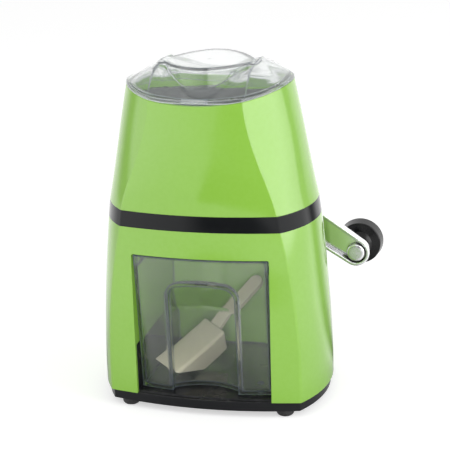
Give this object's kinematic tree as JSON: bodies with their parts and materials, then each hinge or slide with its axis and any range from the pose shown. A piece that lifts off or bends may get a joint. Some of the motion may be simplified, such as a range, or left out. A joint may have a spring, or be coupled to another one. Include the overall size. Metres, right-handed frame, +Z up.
{
  "type": "hand cranked ice shaver",
  "caption": "Tapered oval ice crusher: clear finger-grip lid over a hopper, bladed rotor turned by a rear crank, and a smoke drawer with a loose scoop below.",
  "frame": {"origin": "on the table under the middle of the body, in the plane of the rubber feet's soles", "axes": "+X to the right seen from the drawer's side, +Y to the back where the crank is, +Z up"},
  "size_m": [0.1904, 0.1619, 0.2442],
  "materials": {
    "green_shell": "gloss, opaque moulded",
    "band_black": "high gloss",
    "base_black": "satin",
    "cage_black": "fine grained",
    "liner_grey": "satin",
    "bezel_black": "satin",
    "lid_clear": "polished clear moulding",
    "smoke_clear": "polished smoke-tinted moulding",
    "scoop_ivory": "satin",
    "blade_steel": "stamped and ground",
    "shaft_steel": "turned",
    "spacer_steel": "turned",
    "spring_steel": "oiled dark",
    "screw_steel": "zinc plated",
    "pin_steel": "turned, riveted end",
    "bush_bronze": "sintered",
    "arm_chrome": "polished plate",
    "knob_black": "satin",
    "foot_rubber": "matte"
  },
  "bodies": {
    "housing": {"base_tray": "base_black", "rubber_feet": "foot_rubber", "base_screws": "screw_steel", "lower_shell": "green_shell", "chassis_band": "band_black", "upper_screws": "screw_steel", "upper_shell": "green_shell", "hopper_liner": "liner_grey", "crusher_cage": "cage_black", "cage_screws": "screw_steel", "comb_left": "blade_steel", "comb_right": "blade_steel", "comb_screws": "screw_steel", "front_bush": "bush_bronze", "middle_bush": "bush_bronze", "rear_bush": "bush_bronze", "rear_bezel": "bezel_black"},
    "crank": {"crusher_shaft": "shaft_steel", "shaft_circlip": "spring_steel", "rotor_spacers": "spacer_steel", "rotor_blade_1": "blade_steel", "rotor_blade_2": "blade_steel", "rotor_blade_3": "blade_steel", "rotor_blade_4": "blade_steel", "rotor_blade_5": "blade_steel", "crank_arm": "arm_chrome", "crank_washer": "screw_steel", "crank_screw": "screw_steel", "knob_pin": "pin_steel", "knob_washer": "screw_steel"},
    "knob": {"knob": "knob_black", "knob_cap": "knob_black"},
    "drawer": {"drawer": "smoke_clear"},
    "scoop": {"scoop": "scoop_ivory"},
    "lid": {"lid": "lid_clear"}
  },
  "joints": [
    {"name": "crank_turn", "type": "hinge", "parent": "housing", "child": "crank", "pos_m": [0, 0, 0.1415], "axis": [0, 1, 0], "continuous": true},
    {"name": "knob_spin", "type": "hinge", "parent": "crank", "child": "knob", "pos_m": [0.09038, 0.09, 0.08292], "axis": [0, 1, 0], "continuous": true},
    {"name": "drawer_slide", "type": "slide", "parent": "housing", "child": "drawer", "axis": [0, -1, 0], "range_m": [0, 0.09]},
    {"name": "scoop_lift", "type": "slide", "parent": "drawer", "child": "scoop", "axis": [0, 0, 1], "range_m": [0, 0.035]},
    {"name": "lid_lift", "type": "slide", "parent": "housing", "child": "lid", "axis": [0, 0, 1], "range_m": [0, 0.06]}
  ]
}
